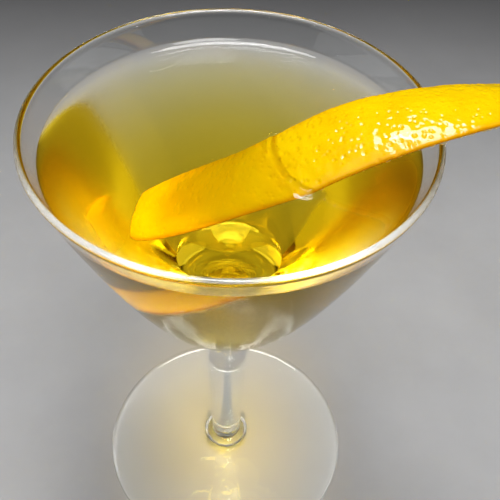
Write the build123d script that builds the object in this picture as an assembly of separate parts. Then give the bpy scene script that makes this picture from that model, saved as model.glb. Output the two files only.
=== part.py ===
"""Stemmed cocktail glass holding a drink, with a strip of orange peel laid over the rim.

Millimetres, +Z up. The origin is the centre of the foot's underside, where the glass stands.
+X points to the side where the peel leaves the glass. Every piece is a solid of its own.
"""

import os

from build123d import *
from numpy import interp

# Overall sizes
RIM_DIAMETER = 86.0
GLASS_HEIGHT = 129.0
FOOT_DIAMETER = 72.5

# Bowl: a deep cone with a rounded bottom, in a wall that thickens downwards
RIM_THICKNESS = 1.5
BOWL_DEPTH = 67.1
BOTTOM_THICKNESS = 3.5
RIM_LEAN = 0.365  # how far the wall leans out per unit of height at the rim
SIDE_REACH = 0.51  # length of the wall's straight pull, as a share of the bowl's depth
BOTTOM_REACH = 0.405  # length of the bottom's flat pull, as a share of the rim radius
DRINK_BELOW_RIM = 6.9

# Stem: drawn out of the bowl, thickest under it
STEM_TOP_RADIUS = 5.6
STEM_FOOT_RADIUS = 4.3
STEM_FLARE_HEIGHT = 11.0  # from the straight taper up to the bowl's lowest point
STEM_FLARE_REACH = 16.0  # radius at which the flare has run out inside the bowl's wall
STEM_FLARE_RISE = 10.0  # and its height there over the bowl's lowest point
STEM_FLARE_WIDEN = 0.6  # where the flare turns outwards: past the taper's top radius,
STEM_FLARE_DROP = 1.5  # and below the bowl's lowest point

# Collar: the button of glass round the bottom of the stem
COLLAR_RADIUS = 8.6
COLLAR_THICKNESS = 4.6
COLLAR_WAIST = 6.9  # its radius on the foot
COLLAR_NECK = 6.5  # and where its shoulder starts
COLLAR_BULGE_AT = 0.45  # height of its widest place, as a share of its thickness
COLLAR_SHOULDER = 1.2  # height of the shoulder, which curves in over this ledge:
COLLAR_LEDGE = 0.4

# Foot: a disc, domed on top and flat underneath
FOOT_EDGE_THICKNESS = 2.0
FOOT_DOME_HEIGHT = 3.2
FOOT_DOME_REACH = 20.0  # radius where the dome runs out
FOOT_BRIM_RISE = 0.2  # of the brim, from the edge in to the dome
FOOT_DOME_PULL = 5.0  # how far the dome's curve keeps the brim's and the top's directions

# Orange peel: a curved swath, skin side up, with rounded ends
PEEL_WIDTH = 18.0
ZEST_THICKNESS = 1.3
PITH_THICKNESS = 1.1
PEEL_ARCH_RADIUS = 25.0  # of its cross-section
PEEL_END_POWER = 6.0  # a higher power makes squarer ends
PEEL_END_SHARE = 0.975  # where the superellipse is cut off at each end
PEEL_SECTIONS = 16
DRINK_GAP = 0.3  # between the peel and the drink's pocket round it

# The peel's centre line, from its tip deep in the drink, up over the rim, to its free end
PEEL_ROUTE = [
    (-21.3, 1.4, 87.6),
    (-13.4, -0.9, 96.4),
    (-4.7, -3.2, 106.2),
    (4.6, -5.2, 116.6),
    (14.8, -5.3, 124.7),
    (25.6, -4.2, 130.0),
    (38.7, -2.0, 133.1),
    (53.9, 1.6, 133.6),
    (62.6, 3.8, 132.9),
]
# Its twist, in degrees, at shares of its length; the side away from -Y is raised when positive
PEEL_TWIST_AT = [0.0, 0.25, 0.45, 0.6, 0.8, 1.0]
PEEL_TWIST = [9.0, 15.0, 11.0, 7.0, -6.0, -18.0]

RIM_RADIUS = RIM_DIAMETER / 2
FOOT_RADIUS = FOOT_DIAMETER / 2
BOWL_BOTTOM = GLASS_HEIGHT - BOWL_DEPTH
DRINK_LEVEL = GLASS_HEIGHT - DRINK_BELOW_RIM
PEEL_THICKNESS = ZEST_THICKNESS + PITH_THICKNESS


def wall_curve(rim_radius, rim_height, bottom_height):
    """One side of the bowl's wall in the XZ plane, from the rim down to the axis."""
    depth = rim_height - bottom_height
    drop = SIDE_REACH * depth
    return Bezier(
        (rim_radius, rim_height),
        (rim_radius - RIM_LEAN * drop, rim_height - drop),
        (BOTTOM_REACH * rim_radius, bottom_height),
        (0, bottom_height),
    )


def outer_wall():
    return wall_curve(RIM_RADIUS, GLASS_HEIGHT - RIM_THICKNESS / 2, BOWL_BOTTOM)


def inner_wall():
    return wall_curve(
        RIM_RADIUS - RIM_THICKNESS,
        GLASS_HEIGHT - RIM_THICKNESS / 2,
        BOWL_BOTTOM + BOTTOM_THICKNESS,
    )


def turned(*edges):
    """The solid that a closed half-outline in the XZ plane sweeps round the Z axis."""
    outline = Plane.XZ * make_face(edges)
    return revolve(outline, Axis.Z)


def make_bowl():
    outer = outer_wall()
    inner = inner_wall()
    bead_top = (RIM_RADIUS - RIM_THICKNESS / 2, GLASS_HEIGHT)
    bead = ThreePointArc(outer @ 0, bead_top, inner @ 0)
    axis = Line(outer @ 1, inner @ 1)
    return turned(outer, bead, inner, axis)


def make_foot():
    """A disc with a rounded edge, whose low dome rises to the collar."""
    edge_radius = FOOT_EDGE_THICKNESS / 2
    brim_end = FOOT_EDGE_THICKNESS + FOOT_BRIM_RISE
    under = Line((0, 0), (FOOT_RADIUS - edge_radius, 0))
    edge = ThreePointArc(
        under @ 1,
        (FOOT_RADIUS, edge_radius),
        (FOOT_RADIUS - edge_radius, FOOT_EDGE_THICKNESS),
    )
    brim = Line(edge @ 1, (FOOT_DOME_REACH, brim_end))
    dome = Bezier(
        brim @ 1,
        (FOOT_DOME_REACH - FOOT_DOME_PULL, brim_end),
        (COLLAR_WAIST + FOOT_DOME_PULL, FOOT_DOME_HEIGHT),
        (COLLAR_WAIST, FOOT_DOME_HEIGHT),
    )
    top = Line(dome @ 1, (0, FOOT_DOME_HEIGHT))
    axis = Line((0, FOOT_DOME_HEIGHT), (0, 0))
    return turned(under, edge, brim, dome, top, axis)


def collar_top():
    return FOOT_DOME_HEIGHT + COLLAR_THICKNESS


def make_collar():
    """A rounded ring of glass between the foot and the end of the stem."""
    base = FOOT_DOME_HEIGHT
    bottom = Line((0, base), (COLLAR_WAIST, base))
    side = ThreePointArc(
        bottom @ 1,
        (COLLAR_RADIUS, base + COLLAR_THICKNESS * COLLAR_BULGE_AT),
        (COLLAR_NECK, base + COLLAR_THICKNESS - COLLAR_SHOULDER),
    )
    shoulder = Bezier(
        side @ 1,
        (STEM_FOOT_RADIUS + COLLAR_SHOULDER, collar_top() - COLLAR_LEDGE),
        (STEM_FOOT_RADIUS + COLLAR_LEDGE, collar_top()),
    )
    top = Line(shoulder @ 1, (0, collar_top()))
    axis = Line((0, collar_top()), (0, base))
    return turned(bottom, side, shoulder, top, axis)


def make_stem():
    """A tapered rod that flares into the bowl's wall, cut off at the bowl's outer surface."""
    flare_top = BOWL_BOTTOM + STEM_FLARE_RISE
    bottom = Line((0, collar_top()), (STEM_FOOT_RADIUS, collar_top()))
    side = Line(bottom @ 1, (STEM_TOP_RADIUS, BOWL_BOTTOM - STEM_FLARE_HEIGHT))
    flare = Bezier(
        side @ 1,
        (STEM_TOP_RADIUS + STEM_FLARE_WIDEN, BOWL_BOTTOM - STEM_FLARE_DROP),
        (STEM_FLARE_REACH, flare_top),
    )
    top = Line(flare @ 1, (0, flare_top))
    axis = Line((0, flare_top), (0, collar_top()))
    return turned(bottom, side, flare, top, axis) - inside_bowl()


def inside_bowl():
    """Everything within the bowl's outer surface."""
    outer = outer_wall()
    top = Line((0, GLASS_HEIGHT - RIM_THICKNESS / 2), outer @ 0)
    axis = Line(outer @ 1, (0, GLASS_HEIGHT - RIM_THICKNESS / 2))
    return turned(outer, top, axis)


def peel_width(share):
    """The strip's width at a share of its length: a superellipse, so its ends are rounded."""
    from_middle = abs(2 * share - 1) * PEEL_END_SHARE
    return PEEL_WIDTH * (1 - from_middle**PEEL_END_POWER) ** (1 / PEEL_END_POWER)


def peel_shares():
    """Shares of the strip's length for its sections, closer together at the ends."""
    for i in range(PEEL_SECTIONS + 1):
        even = i / PEEL_SECTIONS
        yield 0.35 * even + 0.65 * even * even * (3 - 2 * even)


def peel_section(share, top, bottom, margin=0.0):
    """The strip's arched cross-section between two heights over its middle surface."""
    route = Spline(*PEEL_ROUTE)
    along = route % share
    twist = interp(share, PEEL_TWIST_AT, PEEL_TWIST)
    across = Vector(0, 0, 1).cross(along).rotate(Axis((0, 0, 0), along), twist)
    plane = Plane(origin=route @ share, x_dir=across, z_dir=along)
    half = peel_width(share) / 2 + margin
    droop = half**2 / (2 * PEEL_ARCH_RADIUS)
    upper = ThreePointArc((-half, top - droop), (0, top), (half, top - droop))
    lower = ThreePointArc((half, bottom - droop), (0, bottom), (-half, bottom - droop))
    ends = [Line(upper @ 1, lower @ 0), Line(lower @ 1, upper @ 0)]
    return plane * make_face([upper, ends[0], lower, ends[1]])


def peel_layer(top, bottom, margin=0.0):
    return loft([peel_section(share, top, bottom, margin) for share in peel_shares()])


def make_zest():
    return peel_layer(PEEL_THICKNESS / 2, PEEL_THICKNESS / 2 - ZEST_THICKNESS)


def make_pith():
    return peel_layer(PEEL_THICKNESS / 2 - ZEST_THICKNESS, -PEEL_THICKNESS / 2)


def make_drink():
    """The drink fills the bowl to its level, but for a pocket round the sunken peel."""
    full = turned(
        inner_wall(),
        Line(inner_wall() @ 1, (0, GLASS_HEIGHT - RIM_THICKNESS / 2)),
        Line((0, GLASS_HEIGHT - RIM_THICKNESS / 2), inner_wall() @ 0),
    )
    filled = split(full, Plane.XY.offset(DRINK_LEVEL), keep=Keep.BOTTOM)
    reach = PEEL_THICKNESS / 2 + DRINK_GAP
    return filled - peel_layer(reach, -reach, DRINK_GAP)


PIECES = {
    "bowl": make_bowl,
    "stem": make_stem,
    "stem_collar": make_collar,
    "foot": make_foot,
    "drink": make_drink,
    "peel_zest": make_zest,
    "peel_pith": make_pith,
}

os.makedirs("parts", exist_ok=True)
for name, make in PIECES.items():
    piece = make()
    piece.label = name
    export_step(piece, f"parts/{name}.step")
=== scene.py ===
import cmath
import math

import bpy
import numpy as np
from mathutils import Matrix, Vector, noise
from mathutils.bvhtree import BVHTree


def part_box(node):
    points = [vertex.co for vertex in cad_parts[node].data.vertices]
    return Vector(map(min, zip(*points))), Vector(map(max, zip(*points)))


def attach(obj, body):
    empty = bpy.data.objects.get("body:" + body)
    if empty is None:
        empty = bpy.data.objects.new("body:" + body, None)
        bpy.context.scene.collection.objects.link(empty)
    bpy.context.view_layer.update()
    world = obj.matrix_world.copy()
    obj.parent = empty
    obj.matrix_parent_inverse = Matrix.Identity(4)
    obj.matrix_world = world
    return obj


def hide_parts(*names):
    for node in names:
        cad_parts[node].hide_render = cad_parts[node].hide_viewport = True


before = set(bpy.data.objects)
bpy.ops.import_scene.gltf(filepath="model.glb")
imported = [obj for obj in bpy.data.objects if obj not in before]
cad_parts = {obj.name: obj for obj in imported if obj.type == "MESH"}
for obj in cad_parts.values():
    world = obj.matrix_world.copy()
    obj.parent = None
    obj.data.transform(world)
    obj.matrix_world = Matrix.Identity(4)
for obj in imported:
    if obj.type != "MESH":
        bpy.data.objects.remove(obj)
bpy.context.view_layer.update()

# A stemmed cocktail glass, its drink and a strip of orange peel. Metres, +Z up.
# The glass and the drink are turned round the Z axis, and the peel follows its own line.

MM = 0.001

# Places and sizes that the CAD parts in model.glb give
bowl_lo, bowl_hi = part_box("bowl")
stem_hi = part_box("stem")[1]
collar_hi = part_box("stem_collar")[1]
foot_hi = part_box("foot")[1]
drink_lo, drink_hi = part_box("drink")
RIM_RADIUS = bowl_hi.x
RIM_TOP = bowl_hi.z
BOWL_BOTTOM = bowl_lo.z
BOWL_FLOOR = drink_lo.z
DRINK_LEVEL = drink_hi.z
JOIN_RADIUS = stem_hi.x  # where the stem's flare meets the bowl
COLLAR_TOP = collar_hi.z
FOOT_RADIUS = foot_hi.x
FOOT_TOP = foot_hi.z

# The shape of the bowl's wall, as the CAD model has it
RIM_THICKNESS = 1.5 * MM
RIM_LEAN = 0.365
SIDE_REACH = 0.51
BOTTOM_REACH = 0.405

# The stem, the collar and the foot
STEM_TOP_RADIUS = 5.6 * MM
STEM_FOOT_RADIUS = 4.3 * MM
FLARE_HEIGHT = 11.0 * MM
FLARE_REACH = 16.0 * MM
FLARE_RISE = 10.0 * MM
FLARE_WIDEN = 0.6 * MM
FLARE_DROP = 1.5 * MM
COLLAR_RADIUS = 8.6 * MM
COLLAR_WAIST = 6.9 * MM
COLLAR_NECK = 6.5 * MM
COLLAR_BULGE_AT = 0.45
COLLAR_SHOULDER = 1.2 * MM
COLLAR_LEDGE = 0.4 * MM
FOOT_EDGE = 2.0 * MM
FOOT_BRIM_RISE = 0.2 * MM
DOME_REACH = 20.0 * MM
DOME_PULL = 5.0 * MM

# The drink's surface climbs the wall and the peel
SURFACE_DIP = 0.5 * MM
WALL_CLIMB = 1.3 * MM
WALL_CLIMB_LENGTH = 1.3 * MM
PEEL_CLIMB = 1.3 * MM
PEEL_CLIMB_LENGTH = 2.0 * MM
UNDER_CLIMB_LENGTH = 0.4 * PEEL_CLIMB_LENGTH  # shorter on the side that the peel covers
CLIMB_SEARCH = 6.0 * MM  # beyond this distance the peel draws nothing up
CONTACT_HEIGHT = DRINK_LEVEL - SURFACE_DIP + WALL_CLIMB
DRINK_INSET = 0.05 * MM  # keeps the drink's side off the glass that it wets

# The mist on the chilled bowl
MIST_ROUGHNESS = 0.15
MIST_HEIGHTS = (BOWL_BOTTOM + 9.0 * MM, BOWL_BOTTOM + 22.0 * MM)  # where it starts and is full

# The peel
PEEL_WIDTH = 18.0 * MM
ZEST_THICKNESS = 1.3 * MM
PITH_THICKNESS = 1.1 * MM
PEEL_THICKNESS = ZEST_THICKNESS + PITH_THICKNESS
LAYER_LAP = 0.1 * MM  # how far the pith reaches into the zest, so that no gap shows
ARCH_RADIUS = 25.0 * MM
END_POWER = 6.0
END_SHARE = 0.975
PEEL_ROUTE_MM = [
    (-21.3, 1.4, 87.6),
    (-13.4, -0.9, 96.4),
    (-4.7, -3.2, 106.2),
    (4.6, -5.2, 116.6),
    (14.8, -5.3, 124.7),
    (25.6, -4.2, 130.0),
    (38.7, -2.0, 133.1),
    (53.9, 1.6, 133.6),
    (62.6, 3.8, 132.9),
]
TWIST_AT = [0.0, 0.25, 0.45, 0.6, 0.8, 1.0]
TWIST_DEGREES = [9.0, 15.0, 11.0, 7.0, -6.0, -18.0]
PORE_SPACING = 1.35 * MM
PORE_DEPTH = 0.17 * MM
SWELL_SIZE, SWELL_HEIGHT = 5.0 * MM, 0.12 * MM
LUMP_SIZE, LUMP_HEIGHT = 1.7 * MM, 0.11 * MM
SKIN_INSET = 0.1 * MM  # keeps the highest lumps of the skin inside the CAD model
SUNKEN_PAINTED_LIGHT_HEIGHTS = (DRINK_LEVEL - 2.0 * MM, DRINK_LEVEL + 1.0 * MM)  # painted light: below the first height the skin is painted fully lighter, above the second not at all
ZEST_STEPS = (640, 110, 12)  # along the strip, across its top and across its underside
PITH_STEPS = (420, 30, 60)
TUFT_SIZE, TUFT_HEIGHT = 1.1 * MM, 0.15 * MM  # of the pith's underside
TEAR_SIZE, TEAR_DEPTH = 1.8 * MM, 0.8 * MM  # of the pith's torn edges
FRAY_SIZE, FRAY_DEPTH = 0.6 * MM, 0.3 * MM  # the finer tears in them
EDGE_CUT = 0.9 * MM  # how far the pith's edges are cut back

# The stage
FLOOR_HALF = 1.5
FLOOR_DROP = 0.2 * MM  # keeps the table just off the foot
FLOOR_PAINTED_SHADE = (0.10, 0.30)  # painted shade: from where, behind the object, the table's colour darkens, and to where
DOME_FACING = (-0.1, -0.50, 0.85)  # the direction of the dome's brightest part
CAMERA_PLACE = (-0.0038, -0.1247, RIM_TOP + 0.0974)
CAMERA_DOWN = 47.47  # degrees that the camera looks down,
CAMERA_ASIDE = -4.01  # that it turns to the left,
CAMERA_ROLL = 2.74  # and that it rolls
CAMERA_LENS = 55.8
AIM = (0.0, 0.0, 0.1)  # the middle of the bowl, which the overhead lamps face

# Materials
GLASS_IOR = 1.5
DRINK_IOR = 1.345
GLASS_TINT = (0.985, 0.995, 0.99)
NO_TINT = (1.0, 1.0, 1.0)
GLASS, FUSED, WET, MISTED = 0, 1, 2, 3  # their places in the glass pieces' material list

TURNED_SEGMENTS = 256
DRINK_SEGMENTS = 384
SURFACE_RINGS = 150
RING_CROWDING = 1.3  # above 1, the rings are closer together towards the wall
SHARP_ANGLE = math.radians(42)


# ---------------------------------------------------------------- materials


def node_material(name):
    """An empty node material and its node tree, output included."""
    material = bpy.data.materials.new(name)
    material.use_nodes = True
    tree = material.node_tree
    tree.nodes.clear()
    tree.nodes.new("ShaderNodeOutputMaterial")
    return material, tree


def output_of(tree):
    return next(n for n in tree.nodes if n.type == "OUTPUT_MATERIAL")


def add(tree, kind, **inputs):
    """A node with constant inputs, named with underscores for spaces."""
    node = tree.nodes.new("ShaderNode" + kind)
    for key, value in inputs.items():
        node.inputs[key.replace("_", " ")].default_value = value
    return node


def object_noise(tree, scale, detail=3.0, roughness=0.5):
    place = add(tree, "TexCoord")
    texture = add(tree, "TexNoise", Scale=scale, Detail=detail, Roughness=roughness)
    tree.links.new(place.outputs["Object"], texture.inputs["Vector"])
    return texture.outputs["Fac"]


def object_axis(tree, axis):
    place = add(tree, "TexCoord")
    axes = add(tree, "SeparateXYZ")
    tree.links.new(place.outputs["Object"], axes.inputs["Vector"])
    return axes.outputs[axis]


def mix_shaders(tree, amount, first, second):
    """One shader, going over to another one as amount goes from 0 to 1."""
    mixed = add(tree, "MixShader")
    tree.links.new(amount, mixed.inputs["Fac"])
    tree.links.new(first.outputs["BSDF"], mixed.inputs[1])
    tree.links.new(second.outputs["BSDF"], mixed.inputs[2])
    return mixed.outputs["Shader"]


def ramp(tree, value, stops):
    """A colour ramp over a value; each stop is (position, colour)."""
    node = add(tree, "ValToRGB")
    tree.links.new(value, node.inputs["Fac"])
    elements = node.color_ramp.elements
    while len(elements) < len(stops):
        elements.new(0.5)
    for element, (position, colour) in zip(elements, stops):
        element.position = position
        element.color = (*colour, 1.0)
    return node.outputs["Color"]


def map_range(tree, value, low, high, to_low, to_high):
    node = add(tree, "MapRange", From_Min=low, From_Max=high, To_Min=to_low, To_Max=to_high)
    tree.links.new(value, node.inputs["Value"])
    return node.outputs["Result"]


def attribute(tree, name):
    node = add(tree, "Attribute")
    node.attribute_name = name
    return node.outputs["Fac"]


def blend_colour(tree, amount, base, colour, most):
    """The base colour, going over to another one as amount goes from 0 to 1."""
    node = add(tree, "Mix")
    node.data_type = "RGBA"
    tree.links.new(map_range(tree, amount, 0.0, 1.0, 0.0, most), node.inputs[0])
    tree.links.new(base, node.inputs[6])
    node.inputs[7].default_value = (*colour, 1.0)
    return node.outputs[2]


def bump(tree, height, strength, distance):
    node = add(tree, "Bump", Strength=strength, Distance=distance)
    tree.links.new(height, node.inputs["Height"])
    return node.outputs["Normal"]


def glass_shader(tree, ior, tint):
    """Clear blown glass with very slight waves in its surface."""
    shader = add(
        tree, "BsdfPrincipled", Base_Color=(*tint, 1.0), IOR=ior, Transmission_Weight=1.0,
        Roughness=0.0,
    )
    waves = bump(tree, object_noise(tree, 70.0, 1.0), 0.12, 0.25 * MM)
    tree.links.new(waves, shader.inputs["Normal"])
    return shader


def glass_material(name, ior, tint):
    material, tree = node_material(name)
    shader = glass_shader(tree, ior, tint)
    tree.links.new(shader.outputs["BSDF"], output_of(tree).inputs["Surface"])
    return material


def foot_material():
    """The foot's clear glass, which lets lamps light the table under it."""
    material, tree = node_material("foot_clear_glass")
    glass = glass_shader(tree, GLASS_IOR, GLASS_TINT)
    clear = add(tree, "BsdfTransparent", Color=(0.93, 0.93, 0.93, 1.0))
    rays = add(tree, "LightPath")
    mixed = mix_shaders(tree, rays.outputs["Is Shadow Ray"], glass, clear)
    tree.links.new(mixed, output_of(tree).inputs["Surface"])
    return material


def misted_material():
    """Glass chilled by the drink: a fine mist on it dulls it, most towards its top."""
    material, tree = node_material("misted_glass")
    shader = add(
        tree, "BsdfPrincipled", Base_Color=(*GLASS_TINT, 1.0), IOR=GLASS_IOR,
        Transmission_Weight=1.0,
    )
    height = map_range(tree, object_axis(tree, "Z"), *MIST_HEIGHTS, 0.0, MIST_ROUGHNESS)
    patches = map_range(tree, object_noise(tree, 60.0, 3.0), 0.3, 0.7, 0.75, 1.0)
    amount = add(tree, "Math")
    amount.operation = "MULTIPLY"
    tree.links.new(height, amount.inputs[0])
    tree.links.new(patches, amount.inputs[1])
    tree.links.new(amount.outputs["Value"], shader.inputs["Roughness"])
    droplets = bump(tree, object_noise(tree, 900.0, 2.0, 0.6), 0.15, 0.05 * MM)
    tree.links.new(droplets, shader.inputs["Normal"])
    tree.links.new(shader.outputs["BSDF"], output_of(tree).inputs["Surface"])
    return material


def fused_material():
    """Where two gathers of glass have run together, nothing shows."""
    material, tree = node_material("fused_glass")
    clear = add(tree, "BsdfTransparent", Color=(1.0, 1.0, 1.0, 1.0))
    tree.links.new(clear.outputs["BSDF"], output_of(tree).inputs["Surface"])
    return material


def drink_material():
    """A golden drink: its free surface bends light, its sides pass it on to the glass."""
    material, tree = node_material("golden_drink")
    liquid = add(
        tree, "BsdfPrincipled", Base_Color=(1.0, 1.0, 1.0, 1.0), IOR=DRINK_IOR,
        Transmission_Weight=1.0, Roughness=0.0,
    )
    ripples = bump(tree, object_noise(tree, 40.0, 1.0), 0.06, 0.3 * MM)
    tree.links.new(ripples, liquid.inputs["Normal"])
    side = add(tree, "BsdfTransparent", Color=(1.0, 1.0, 1.0, 1.0))
    mixed = mix_shaders(tree, attribute(tree, "free_surface"), side, liquid)
    tree.links.new(mixed, output_of(tree).inputs["Surface"])
    soak = add(tree, "VolumeAbsorption", Color=(0.975, 0.88, 0.17, 1.0), Density=62.0)
    tree.links.new(soak.outputs["Volume"], output_of(tree).inputs["Volume"])
    return material


def zest_material():
    """Orange skin: waxy and pitted, deeper in colour in its pits and at its cut edges, and
    painted lighter where it lies in the drink.
    """
    material, tree = node_material("orange_skin")
    shader = add(
        tree, "BsdfPrincipled", Roughness=0.45, IOR=1.45, Subsurface_Weight=0.2,
        Subsurface_Scale=1.0 * MM, Coat_Weight=0.8, Coat_Roughness=0.07, Specular_IOR_Level=0.05,
    )
    shader.inputs["Subsurface Radius"].default_value = (1.0, 0.5, 0.08)
    blotches = object_noise(tree, 130.0, 3.0)
    skin = ramp(tree, blotches, [(0.3, (0.66, 0.38, 0.001)), (0.7, (0.72, 0.46, 0.002))])
    pitted = blend_colour(tree, attribute(tree, "pore"), skin, (0.64, 0.32, 0.001), 0.35)
    # Painted light: the skin under the drink is painted lighter, standing in for the light that
    # it seems to lose under the surface.
    sunken_painted_light = blend_colour(tree, attribute(tree, "sunken_painted_light"), pitted, (1.0, 0.63, 0.002), 0.9)
    edged = blend_colour(tree, attribute(tree, "rim"), sunken_painted_light, (0.75, 0.27, 0.001), 0.7)
    tree.links.new(edged, shader.inputs["Base Color"])
    grain = bump(tree, object_noise(tree, 1300.0, 3.0, 0.6), 0.25, 0.10 * MM)
    tree.links.new(grain, shader.inputs["Normal"])
    tree.links.new(shader.outputs["BSDF"], output_of(tree).inputs["Surface"])
    return material


def pith_material():
    """The white under the zest: soft, fibrous and matt."""
    material, tree = node_material("orange_white")
    shader = add(
        tree, "BsdfPrincipled", Roughness=0.7, Subsurface_Weight=0.5, Subsurface_Scale=2.0 * MM
    )
    shader.inputs["Subsurface Radius"].default_value = (1.0, 0.8, 0.45)
    colour = ramp(
        tree,
        object_noise(tree, 320.0, 4.0),
        [(0.3, (0.86, 0.66, 0.30)), (0.7, (0.95, 0.84, 0.55))],
    )
    tree.links.new(colour, shader.inputs["Base Color"])
    fibres = bump(tree, object_noise(tree, 900.0, 5.0, 0.65), 0.6, 0.3 * MM)
    tree.links.new(fibres, shader.inputs["Normal"])
    tree.links.new(shader.outputs["BSDF"], output_of(tree).inputs["Surface"])
    return material


def floor_material():
    """A pale tabletop whose colour is painted darker behind the object, a painted shade for the
    lamps' falloff.
    """
    material, tree = node_material("pale_floor")
    shader = add(tree, "BsdfPrincipled", Roughness=0.55)
    grey = ramp(
        tree,
        object_noise(tree, 14.0, 6.0, 0.6),
        [(0.3, (0.27, 0.27, 0.273)), (0.7, (0.32, 0.32, 0.323))],
    )
    # Painted shade: the colour goes dark behind the object in place of the lamps' light falling
    # off.
    painted_shade = map_range(tree, object_axis(tree, "Y"), *FLOOR_PAINTED_SHADE, 0.0, 1.0)
    colour = blend_colour(tree, painted_shade, grey, (0.06, 0.06, 0.061), 1.0)
    tree.links.new(colour, shader.inputs["Base Color"])
    tree.links.new(shader.outputs["BSDF"], output_of(tree).inputs["Surface"])
    return material


# ---------------------------------------------------------------- turned pieces


def bezier(points, count=64):
    """Points along a Bezier curve, both ends included."""
    found = []
    for i in range(count + 1):
        t = i / count
        level = [Vector(p) for p in points]
        while len(level) > 1:
            level = [a.lerp(b, t) for a, b in zip(level, level[1:])]
        found.append(tuple(level[0]))
    return found


def arc(centre, radius, start, end, count=12):
    """Points along an arc, from one angle to another in degrees, both ends included."""
    angles = [math.radians(start + (end - start) * i / count) for i in range(count + 1)]
    return [(centre[0] + radius * math.cos(a), centre[1] + radius * math.sin(a)) for a in angles]


def arc_through(start, middle, end, count=24):
    """Points along the arc through three points, both ends included."""
    a, b, c = (complex(*p) for p in (start, middle, end))
    w = (c - a) / (b - a)
    centre = (b - a) * (w - abs(w) ** 2) / (2j * w.imag) + a
    first = a - centre
    sweep = cmath.phase((c - centre) / first)
    spots = [centre + first * cmath.exp(1j * sweep * i / count) for i in range(count + 1)]
    return [(spot.real, spot.imag) for spot in spots]


def wall_curve(rim_radius, bottom):
    """One side of the bowl's wall, from the rim down to the axis."""
    top = RIM_TOP - RIM_THICKNESS / 2
    drop = SIDE_REACH * (top - bottom)
    return bezier(
        [
            (rim_radius, top),
            (rim_radius - RIM_LEAN * drop, top - drop),
            (BOTTOM_REACH * rim_radius, bottom),
            (0.0, bottom),
        ],
        96,
    )


def cut_at(profile, axis, value):
    """The profile in two, with a point of its own where its radius (0) or height (1) is value."""
    for i, (a, b) in enumerate(zip(profile, profile[1:])):
        if min(a[axis], b[axis]) < value <= max(a[axis], b[axis]):
            t = (value - a[axis]) / (b[axis] - a[axis])
            point = (a[0] + t * (b[0] - a[0]), a[1] + t * (b[1] - a[1]))
            return profile[: i + 1] + [point], [point] + profile[i + 1 :]
    raise ValueError("the profile doesn't reach that value")


def turned(name, stretches, materials, segments=TURNED_SEGMENTS):
    """A closed solid from stretches of profile (points, material index), axis to axis."""
    profile, slots = [stretches[0][0][0]], []
    for points, slot in stretches:
        profile += points[1:]
        slots += [slot] * (len(points) - 1)
    turns = [2 * math.pi * k / segments for k in range(segments)]
    vertices, rings = [], []
    for radius, height in profile:
        if radius < 1e-7:
            rings.append([len(vertices)] * segments)
            vertices.append((0.0, 0.0, height))
        else:
            rings.append(list(range(len(vertices), len(vertices) + segments)))
            vertices += [(radius * math.cos(a), radius * math.sin(a), height) for a in turns]
    faces, indices = [], []
    for low, high, slot in zip(rings, rings[1:], slots):
        for k in range(segments):
            j = (k + 1) % segments
            face = list(dict.fromkeys([low[k], low[j], high[j], high[k]]))
            faces.append(face)
            indices.append(slot)
    mesh = bpy.data.meshes.new(name)
    mesh.from_pydata(vertices, [], faces)
    for material in materials:
        mesh.materials.append(material)
    mesh.polygons.foreach_set("material_index", indices)
    return finished(name, mesh)


def finished(name, mesh):
    """Smooth shading but for real edges, and an object that shows the mesh."""
    mesh.validate()
    mesh.polygons.foreach_set("use_smooth", [True] * len(mesh.polygons))
    mesh.set_sharp_from_angle(angle=SHARP_ANGLE)
    piece = bpy.data.objects.new(name, mesh)
    bpy.context.scene.collection.objects.link(piece)
    return piece


def outer_wall():
    return wall_curve(RIM_RADIUS, BOWL_BOTTOM)


def inner_wall():
    return wall_curve(RIM_RADIUS - RIM_THICKNESS, BOWL_FLOOR)


def make_bowl(materials):
    side, under = cut_at(outer_wall(), 0, JOIN_RADIUS)
    upper, misted = cut_at(side, 1, CONTACT_HEIGHT)
    dry, wetted = cut_at(inner_wall(), 1, CONTACT_HEIGHT)
    bead_centre = (RIM_RADIUS - RIM_THICKNESS / 2, RIM_TOP - RIM_THICKNESS / 2)
    bead = arc(bead_centre, RIM_THICKNESS / 2, 0, 180)
    return turned(
        "glass_bowl",
        [
            (under[::-1], FUSED),
            (misted[::-1], MISTED),
            (upper[::-1], GLASS),
            (bead, GLASS),
            (dry, GLASS),
            (wetted, WET),
        ],
        materials,
    )


def make_stem(materials):
    _, cap = cut_at(outer_wall(), 0, JOIN_RADIUS)
    flare = bezier(
        [
            (STEM_TOP_RADIUS, BOWL_BOTTOM - FLARE_HEIGHT),
            (STEM_TOP_RADIUS + FLARE_WIDEN, BOWL_BOTTOM - FLARE_DROP),
            (FLARE_REACH, BOWL_BOTTOM + FLARE_RISE),
        ],
        40,
    )
    flare = [p for p in flare if p[0] < JOIN_RADIUS - 0.1 * MM] + [cap[0]]
    taper = bezier([(STEM_FOOT_RADIUS, COLLAR_TOP), flare[0]], 24)
    base = [(0.0, COLLAR_TOP), taper[0]]
    return turned(
        "glass_stem", [(base, FUSED), (taper, GLASS), (flare, GLASS), (cap, FUSED)], materials
    )


def make_collar(materials):
    height = COLLAR_TOP - FOOT_TOP
    base = [(0.0, FOOT_TOP), (COLLAR_WAIST, FOOT_TOP)]
    widest = (COLLAR_RADIUS, FOOT_TOP + COLLAR_BULGE_AT * height)
    side = arc_through(base[1], widest, (COLLAR_NECK, COLLAR_TOP - COLLAR_SHOULDER))
    shoulder = bezier(
        [
            side[-1],
            (STEM_FOOT_RADIUS + COLLAR_SHOULDER, COLLAR_TOP - COLLAR_LEDGE),
            (STEM_FOOT_RADIUS, COLLAR_TOP),
        ],
        10,
    )
    top = [(STEM_FOOT_RADIUS, COLLAR_TOP), (0.0, COLLAR_TOP)]
    return turned(
        "glass_stem_collar",
        [(base, FUSED), (side, GLASS), (shoulder, GLASS), (top, FUSED)],
        materials,
    )


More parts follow.
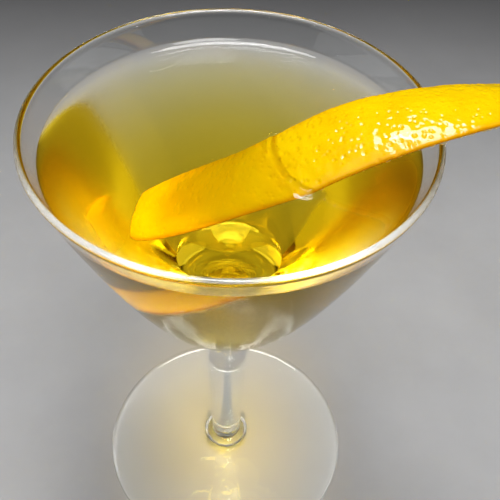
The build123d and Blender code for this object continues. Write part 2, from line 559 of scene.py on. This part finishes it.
def make_foot(materials):
    edge_radius = FOOT_EDGE / 2
    flat_end = FOOT_RADIUS - edge_radius
    brim_end = FOOT_EDGE + FOOT_BRIM_RISE
    under = [(flat_end * i / 12, 0.0) for i in range(13)]
    edge = arc((flat_end, edge_radius), edge_radius, -90, 90)
    brim = [edge[-1], (DOME_REACH, brim_end)]
    dome = bezier(
        [
            brim[-1],
            (DOME_REACH - DOME_PULL, brim_end),
            (COLLAR_WAIST + DOME_PULL, FOOT_TOP),
            (COLLAR_WAIST, FOOT_TOP),
        ],
        32,
    )
    top = [dome[-1], (0.0, FOOT_TOP)]
    return turned(
        "glass_foot",
        [(under, GLASS), (edge, GLASS), (brim, GLASS), (dome, GLASS), (top, FUSED)],
        materials,
    )


def inset(point):
    """A point of the wall's inner side, moved in; near the bottom it is moved up as well."""
    radius, height = point
    if radius < RIM_RADIUS / 2:
        height += DRINK_INSET
    return max(radius - DRINK_INSET, 0.0), height


def make_drink(material, peel):
    """The drink, with its surface drawn up at the wall and round the peel."""
    _, wetted = cut_at(inner_wall(), 1, CONTACT_HEIGHT)
    wetted = [inset(point) for point in wetted]
    reach = wetted[0][0]
    flat = DRINK_LEVEL - SURFACE_DIP
    top = []
    for i in range(SURFACE_RINGS + 1):
        radius = reach * (1 - (1 - i / SURFACE_RINGS) ** RING_CROWDING)
        climb = WALL_CLIMB * math.exp((radius - reach) / WALL_CLIMB_LENGTH)
        top.append((radius, flat + climb))
    stretches = [(wetted[::-1], 0), (top[::-1], 1)]
    piece = turned("drink_liquid", stretches, [material], DRINK_SEGMENTS)
    mesh = piece.data
    free = mesh.attributes.new("free_surface", "FLOAT", "FACE")
    index = [p.material_index for p in mesh.polygons]
    free.data.foreach_set("value", [float(i) for i in index])
    mesh.polygons.foreach_set("material_index", [0] * len(index))
    climb_peel(mesh, peel)
    return piece


def climb_peel(mesh, peel):
    """Draws the free surface up where it meets the peel."""
    tree = BVHTree.FromObject(peel, bpy.context.evaluated_depsgraph_get())
    free = mesh.attributes["free_surface"]
    ids = {v for p in mesh.polygons if free.data[p.index].value > 0.5 for v in p.vertices}
    for i in ids:
        point = mesh.vertices[i].co
        hit, normal, _, distance = tree.find_nearest(point, CLIMB_SEARCH)
        if hit is None:
            continue
        outside = (point - hit).dot(normal) > 0
        length = PEEL_CLIMB_LENGTH if outside else UNDER_CLIMB_LENGTH
        point.z += PEEL_CLIMB * math.exp(-distance / length)


# ---------------------------------------------------------------- the peel


def smooth_line(points, count):
    """A natural cubic spline through the points: places and directions at even parameters."""
    points = np.array(points, float)
    gaps = np.linalg.norm(np.diff(points, axis=0), axis=1)
    knots = np.concatenate([[0.0], np.cumsum(gaps)])
    n = len(points)
    system, right = np.eye(n), np.zeros((n, 3))
    for i in range(1, n - 1):
        system[i, i - 1 : i + 2] = gaps[i - 1], 2 * (gaps[i - 1] + gaps[i]), gaps[i]
        slopes = np.diff(points[i - 1 : i + 2], axis=0) / gaps[i - 1 : i + 1, None]
        right[i] = 6 * (slopes[1] - slopes[0])
    second = np.linalg.solve(system, right)
    at = np.linspace(0.0, knots[-1], count)
    span = np.clip(np.searchsorted(knots, at) - 1, 0, n - 2)
    gap = gaps[span][:, None]
    a = (knots[span + 1] - at)[:, None] / gap
    b = 1 - a
    places = (
        a * points[span] + b * points[span + 1]
        + ((a**3 - a) * second[span] + (b**3 - b) * second[span + 1]) * gap**2 / 6
    )
    along = np.gradient(places, axis=0)
    return places, along / np.linalg.norm(along, axis=1)[:, None], knots[-1]


def strip_loop(half, top, bottom, top_steps, bottom_steps, bevel_steps=5):
    """A flat strip's section, as (across, up) points going round, with rounded edges."""
    bevel = (top - bottom) / 2
    middle = (top + bottom) / 2
    inner = max(half - bevel, 0.2 * bevel)
    loop = [(inner * (1 - 2 * i / top_steps), top) for i in range(top_steps + 1)]
    turn = [math.pi * (i + 1) / (bevel_steps + 1) for i in range(bevel_steps)]
    loop += [(-inner - bevel * math.sin(a), middle + bevel * math.cos(a)) for a in turn]
    loop += [(-inner * (1 - 2 * i / bottom_steps), bottom) for i in range(bottom_steps + 1)]
    loop += [(inner + bevel * math.sin(a), middle - bevel * math.cos(a)) for a in turn]
    return loop


def peel_width(share):
    from_middle = abs(2 * share - 1) * END_SHARE
    return PEEL_WIDTH * (1 - from_middle**END_POWER) ** (1 / END_POWER)


def end_rounding(share, length, thickness):
    """How much of its thickness the strip has near its ends, which are rounded over."""
    from_end = min(share, 1 - share) * length
    missing = max(0.0, 1 - from_end / (thickness / 2))
    return max(0.15, math.sqrt(1 - missing**2))


def peel_piece(name, material, top, bottom, steps, trim, move):
    """A layer of the peel, with steps along it and across its top and its underside.

    trim(along, side) is how far an edge is cut back, and move(along, across, half, height)
    how far a point of the surface stands out.
    """
    along_steps, top_steps, bottom_steps = steps
    places, directions, length = smooth_line(np.array(PEEL_ROUTE_MM) * MM, along_steps + 1)
    middle = (top + bottom) / 2
    vertices, faces = [], []
    for k in range(along_steps + 1):
        share = k / along_steps
        half = peel_width(share) / 2
        thick = end_rounding(share, length, top - bottom)
        direction = Vector(directions[k])
        level = Vector((0, 0, 1)).cross(direction).normalized()
        twist = math.radians(np.interp(share, TWIST_AT, TWIST_DEGREES))
        across = Matrix.Rotation(twist, 3, direction) @ level
        up = direction.cross(across)
        cuts = {side: trim(share * length, side) for side in (-1, 1)}
        for x, y in strip_loop(half, top, bottom, top_steps, bottom_steps):
            side = 1 if x > 0 else -1
            x -= side * cuts[side] * min(1.0, abs(x) / half) ** 4
            y = middle + (y - middle) * thick
            out = (up + across * (x / ARCH_RADIUS)).normalized()
            rise = y - x * x / (2 * ARCH_RADIUS)
            shift = move(share * length, x, half, (y - bottom) / (top - bottom))
            vertices.append(Vector(places[k]) + across * x + up * rise + out * shift)
    around = len(vertices) // (along_steps + 1)
    for k in range(along_steps):
        for j in range(around):
            a, b = k * around + j, k * around + (j + 1) % around
            faces.append((a, a + around, b + around, b))
    faces.append(tuple(range(around)))
    last = along_steps * around
    faces.append(tuple(last + j for j in reversed(range(around))))
    mesh = bpy.data.meshes.new(name)
    mesh.from_pydata(vertices, [], faces)
    mesh.materials.append(material)
    return mesh


def pit_depth(along, across):
    """1 at the bottom of one of the skin's oil pits, 0 between them."""
    nearest = noise.voronoi(Vector((along, across, 0.0)) / PORE_SPACING)[0][0]
    inside = max(0.0, 1 - nearest / 0.5)
    return inside * inside * (3 - 2 * inside)


def make_zest(material):
    pores, rims = [], []

    def whole(along, side):
        return 0.0

    def skin(along, across, half, height):
        on_top = max(0.0, 2 * height - 1)
        pit = pit_depth(along, across) * on_top
        pores.append(pit)
        rims.append(max(1 - on_top, (abs(across) / half) ** 12))
        swell = noise.noise(Vector((along, across, 7.0 * MM)) / SWELL_SIZE) * SWELL_HEIGHT
        lumps = noise.noise(Vector((along, across, 3.0 * MM)) / LUMP_SIZE) * LUMP_HEIGHT
        return (swell + lumps - SKIN_INSET) * on_top - PORE_DEPTH * pit

    top = PEEL_THICKNESS / 2
    bottom = top - ZEST_THICKNESS
    mesh = peel_piece("orange_zest", material, top, bottom, ZEST_STEPS, whole, skin)
    heights = [v.co.z for v in mesh.vertices]
    # Painted light: how far the skin is painted lighter, by its depth under the drink's level.
    sunken_painted_light = np.interp(heights, SUNKEN_PAINTED_LIGHT_HEIGHTS, [1.0, 0.0])
    for key, values in {"pore": pores, "rim": rims, "sunken_painted_light": sunken_painted_light}.items():
        mesh.attributes.new(key, "FLOAT", "POINT").data.foreach_set("value", values)
    return finished("orange_zest", mesh)


def make_pith(material):
    """The pith is torn along its edges, so it shows as a ragged white line under the zest."""

    def torn(along, side):
        tears = noise.noise(Vector((along / TEAR_SIZE, 5.0 * side, 0.0))) * TEAR_DEPTH
        frays = noise.noise(Vector((along / FRAY_SIZE, 9.0 * side, 0.0))) * FRAY_DEPTH
        return EDGE_CUT + tears + frays

    def fibres(along, across, half, height):
        tuft = noise.noise(Vector((along, across, 1.0 * MM)) / TUFT_SIZE) * TUFT_HEIGHT
        return tuft * (1 - height)

    top = PEEL_THICKNESS / 2 - ZEST_THICKNESS + LAYER_LAP
    bottom = -PEEL_THICKNESS / 2
    mesh = peel_piece("orange_pith", material, top, bottom, PITH_STEPS, torn, fibres)
    return finished("orange_pith", mesh)


# ---------------------------------------------------------------- the part


def carried(piece, body, node):
    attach(piece, body)
    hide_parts(node)


clear_glass = glass_material("clear_glass", GLASS_IOR, GLASS_TINT)
wet_glass = glass_material("wet_glass", GLASS_IOR / DRINK_IOR, NO_TINT)
misted_glass = misted_material()
fused_glass = fused_material()
glass_set = [clear_glass, fused_glass, wet_glass, misted_glass]
zest = make_zest(zest_material())
pith = make_pith(pith_material())
carried(make_bowl(glass_set), "glass", "bowl")
carried(make_stem(glass_set), "glass", "stem")
carried(make_collar(glass_set), "glass", "stem_collar")
carried(make_foot([foot_material(), fused_glass]), "glass", "foot")
carried(make_drink(drink_material(), zest), "glass", "drink")
carried(zest, "garnish", "peel_zest")
carried(pith, "garnish", "peel_pith")


# ---------------------------------------------------------------- stage, light, camera


def make_floor():
    mesh = bpy.data.meshes.new("floor")
    corners = [(-1, -1), (1, -1), (1, 1), (-1, 1)]
    places = [(FLOOR_HALF * x, FLOOR_HALF * y, -FLOOR_DROP) for x, y in corners]
    mesh.from_pydata(places, [], [(0, 1, 2, 3)])
    mesh.materials.append(floor_material())
    floor = bpy.data.objects.new("floor", mesh)
    bpy.context.scene.collection.objects.link(floor)


def area_light(name, place, target, size, watts, colour=(1, 1, 1), spread=180):
    """An oval lamp facing its target, itself out of the camera's sight; spread is in degrees."""
    data = bpy.data.lights.new(name, "AREA")
    data.shape = "ELLIPSE"
    data.size, data.size_y = size
    data.energy, data.color = watts, colour
    data.spread = math.radians(spread)
    lamp = bpy.data.objects.new(name, data)
    lamp.location = place
    lamp.rotation_euler = (Vector(target) - Vector(place)).to_track_quat("-Z", "Y").to_euler()
    lamp.visible_camera = False
    bpy.context.scene.collection.objects.link(lamp)
    return lamp


def make_world():
    """A soft dome: bright over and behind the camera, dim at the back and low down."""
    world = bpy.data.worlds.new("studio")
    world.use_nodes = True
    tree = world.node_tree
    shine = tree.nodes["Background"]
    place = add(tree, "TexCoord")
    facing = add(tree, "VectorMath")
    facing.operation = "DOT_PRODUCT"
    facing.inputs[1].default_value = Vector(DOME_FACING).normalized()
    tree.links.new(place.outputs["Generated"], facing.inputs[0])
    colour = ramp(
        tree,
        facing.outputs["Value"],
        [
            (0.0, (0.05, 0.05, 0.052)),
            (0.65, (0.10, 0.10, 0.102)),
            (0.82, (0.7, 0.7, 0.7)),
            (0.90, (1.35, 1.35, 1.35)),
            (1.0, (1.35, 1.35, 1.35)),
        ],
    )
    tree.links.new(colour, shine.inputs["Color"])
    bpy.context.scene.world = world


def make_camera():
    data = bpy.data.cameras.new("camera")
    data.lens = CAMERA_LENS
    data.clip_start = 0.01
    camera = bpy.data.objects.new("camera", data)
    yaw = Matrix.Rotation(math.radians(CAMERA_ASIDE), 4, "Z")
    pitch = Matrix.Rotation(math.radians(90 - CAMERA_DOWN), 4, "X")
    roll = Matrix.Rotation(math.radians(CAMERA_ROLL), 4, "Z")
    camera.matrix_world = Matrix.Translation(CAMERA_PLACE) @ yaw @ pitch @ roll
    bpy.context.scene.collection.objects.link(camera)
    bpy.context.scene.camera = camera


def make_lights():
    """Two broad overhead lamps, a small one that glints in the skin, low panels and a glow."""
    area_light("front", (0.09, -0.16, 0.67), AIM, (0.24, 0.24), 1.6)
    area_light("top", (0.0, 0.13, 0.68), AIM, (0.26, 0.26), 2.4)
    area_light("spark", (-0.02, 0.13, 0.67), AIM, (0.14, 0.03), 0.40)
    for side in (-1, 1):
        make_side_panel(side)
    make_glow()


def make_side_panel(side):
    """A low panel beside the glass, which the bowl's wall mirrors in the drink's sides."""
    place = (0.45 * side, -0.13, 0.11)
    panel = area_light("side", place, (0.0, *place[1:]), (0.62, 0.28), 0.26)
    panel.visible_glossy = False


def make_glow():
    """A warm narrow lamp: the light that the drink focuses round the collar."""
    glow = area_light(
        "glow", (0.0, -0.33, 0.38), (0.0, 0.004, 0.0), (0.03, 0.03), 0.012, (1.0, 0.68, 0.15), 8
    )
    glow.visible_transmission = False
    glow.visible_glossy = False


def set_tones():
    """The darkest tones go a little darker, and the middle ones a little lighter."""
    settings = bpy.context.scene.view_settings
    settings.view_transform = "Standard"
    settings.use_curve_mapping = True
    tones = settings.curve_mapping
    for given, shown in ((0.03, 0.010), (0.12, 0.105), (0.40, 0.42)):
        tones.curves[3].points.new(given, shown)
    tones.update()


def set_light_paths():
    """Enough bounces for light to cross the glass and the drink many times."""
    cycles = bpy.context.scene.cycles
    cycles.max_bounces = 48
    cycles.transmission_bounces = 48
    cycles.glossy_bounces = 48  # a total reflection inside the glass counts as a glossy bounce
    cycles.transparent_max_bounces = 64
    cycles.blur_glossy = 0.0  # so that the glass and the drink really pass and focus light
    cycles.sample_clamp_indirect = 20.0


make_floor()
make_world()
make_lights()
make_camera()
set_tones()
set_light_paths()
